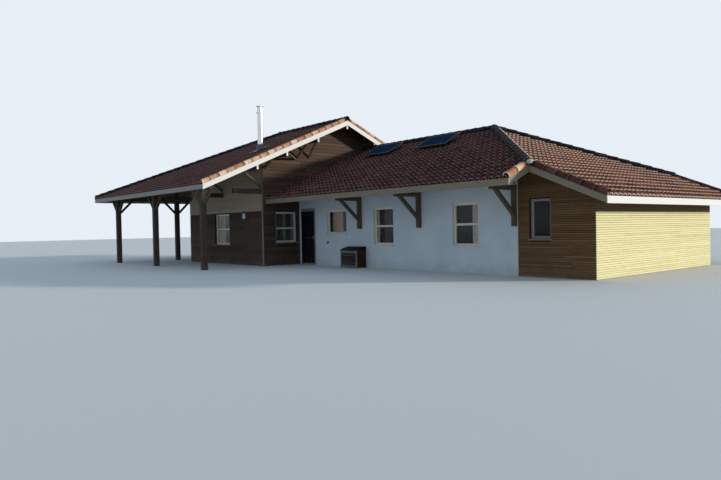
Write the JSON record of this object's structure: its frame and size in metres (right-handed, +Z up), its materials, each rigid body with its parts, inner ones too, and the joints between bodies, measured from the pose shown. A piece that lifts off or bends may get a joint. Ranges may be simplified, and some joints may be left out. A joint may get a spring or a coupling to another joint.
{
  "type": "beach house",
  "caption": "Low L-shaped house with a white and timber wing, a taller gabled block, tiled hipped roofs, an open porch on timber posts and a hinged front door.",
  "frame": {"origin": "On the ground under the centre of the whole house's bounding box.", "axes": "+X runs along the white wall from the taller block to the wing's hipped end, +Y runs from the front to the back, +Z is up."},
  "size_m": [24.835, 13.45, 6.62],
  "materials": {
    "concrete": "matte",
    "white_render": "matte",
    "timber_cladding": "matte",
    "brown_boards": "matte",
    "pale_boards": "matte",
    "white_paint": "satin",
    "roof_tiles": "matte",
    "cap_tiles": "matte",
    "soffit_timber": "matte",
    "porch_timber": "matte",
    "window_paint": "satin",
    "window_glass": "smooth",
    "door_timber": "satin",
    "handle_metal": "satin",
    "flue_steel": "polished",
    "flashing_lead": "matte",
    "solar_glass": "gloss",
    "plaque_paint": "matte",
    "locker_timber": "matte"
  },
  "bodies": {
    "house": {"floor_slabs": "concrete", "front_wall_right_of_door": "white_render", "front_wall_over_door": "white_render", "front_wall_left_of_door": "white_render", "front_wall_timber": "timber_cladding", "end_wall": "timber_cladding", "back_wall_white": "white_render", "back_wall_timber": "timber_cladding", "gable_wall_piers": "brown_boards", "gable_wall_upper": "brown_boards", "block_front_wall": "brown_boards", "block_left_wall": "brown_boards", "block_back_wall": "brown_boards", "upper_boarding": "pale_boards", "corner_boards": "white_paint", "wing_tiles_front": "roof_tiles", "wing_tiles_end": "roof_tiles", "wing_tiles_back": "roof_tiles", "wing_decks": "soffit_timber", "block_tiles_front": "roof_tiles", "block_tiles_hip": "roof_tiles", "block_tiles_back": "roof_tiles", "block_decks": "soffit_timber", "eave_boards": "white_paint", "bargeboards": "white_paint", "ridge_tiles": "cap_tiles", "hip_tiles": "cap_tiles", "verge_tiles": "cap_tiles", "roof_purlins": "white_paint", "roof_struts": "porch_timber", "eave_brackets": "porch_timber", "porch_posts": "porch_timber", "porch_beams": "porch_timber", "porch_braces": "porch_timber", "window_frames": "window_paint", "window_panes": "window_glass", "window_sills": "white_render", "door_frame": "window_paint", "flue_pipe": "flue_steel", "flue_flashing": "flashing_lead", "solar_panels": "solar_glass", "wall_plaque": "plaque_paint", "timber_locker": "locker_timber"},
    "door": {"door_leaf": "door_timber", "door_handle": "handle_metal"}
  },
  "joints": [
    {"name": "front_door_hinge", "type": "hinge", "parent": "house", "child": "door", "pos_m": [-1.0825, -1.962, 0], "axis": [0, 0, 1], "range_deg": [0, 100]}
  ]
}
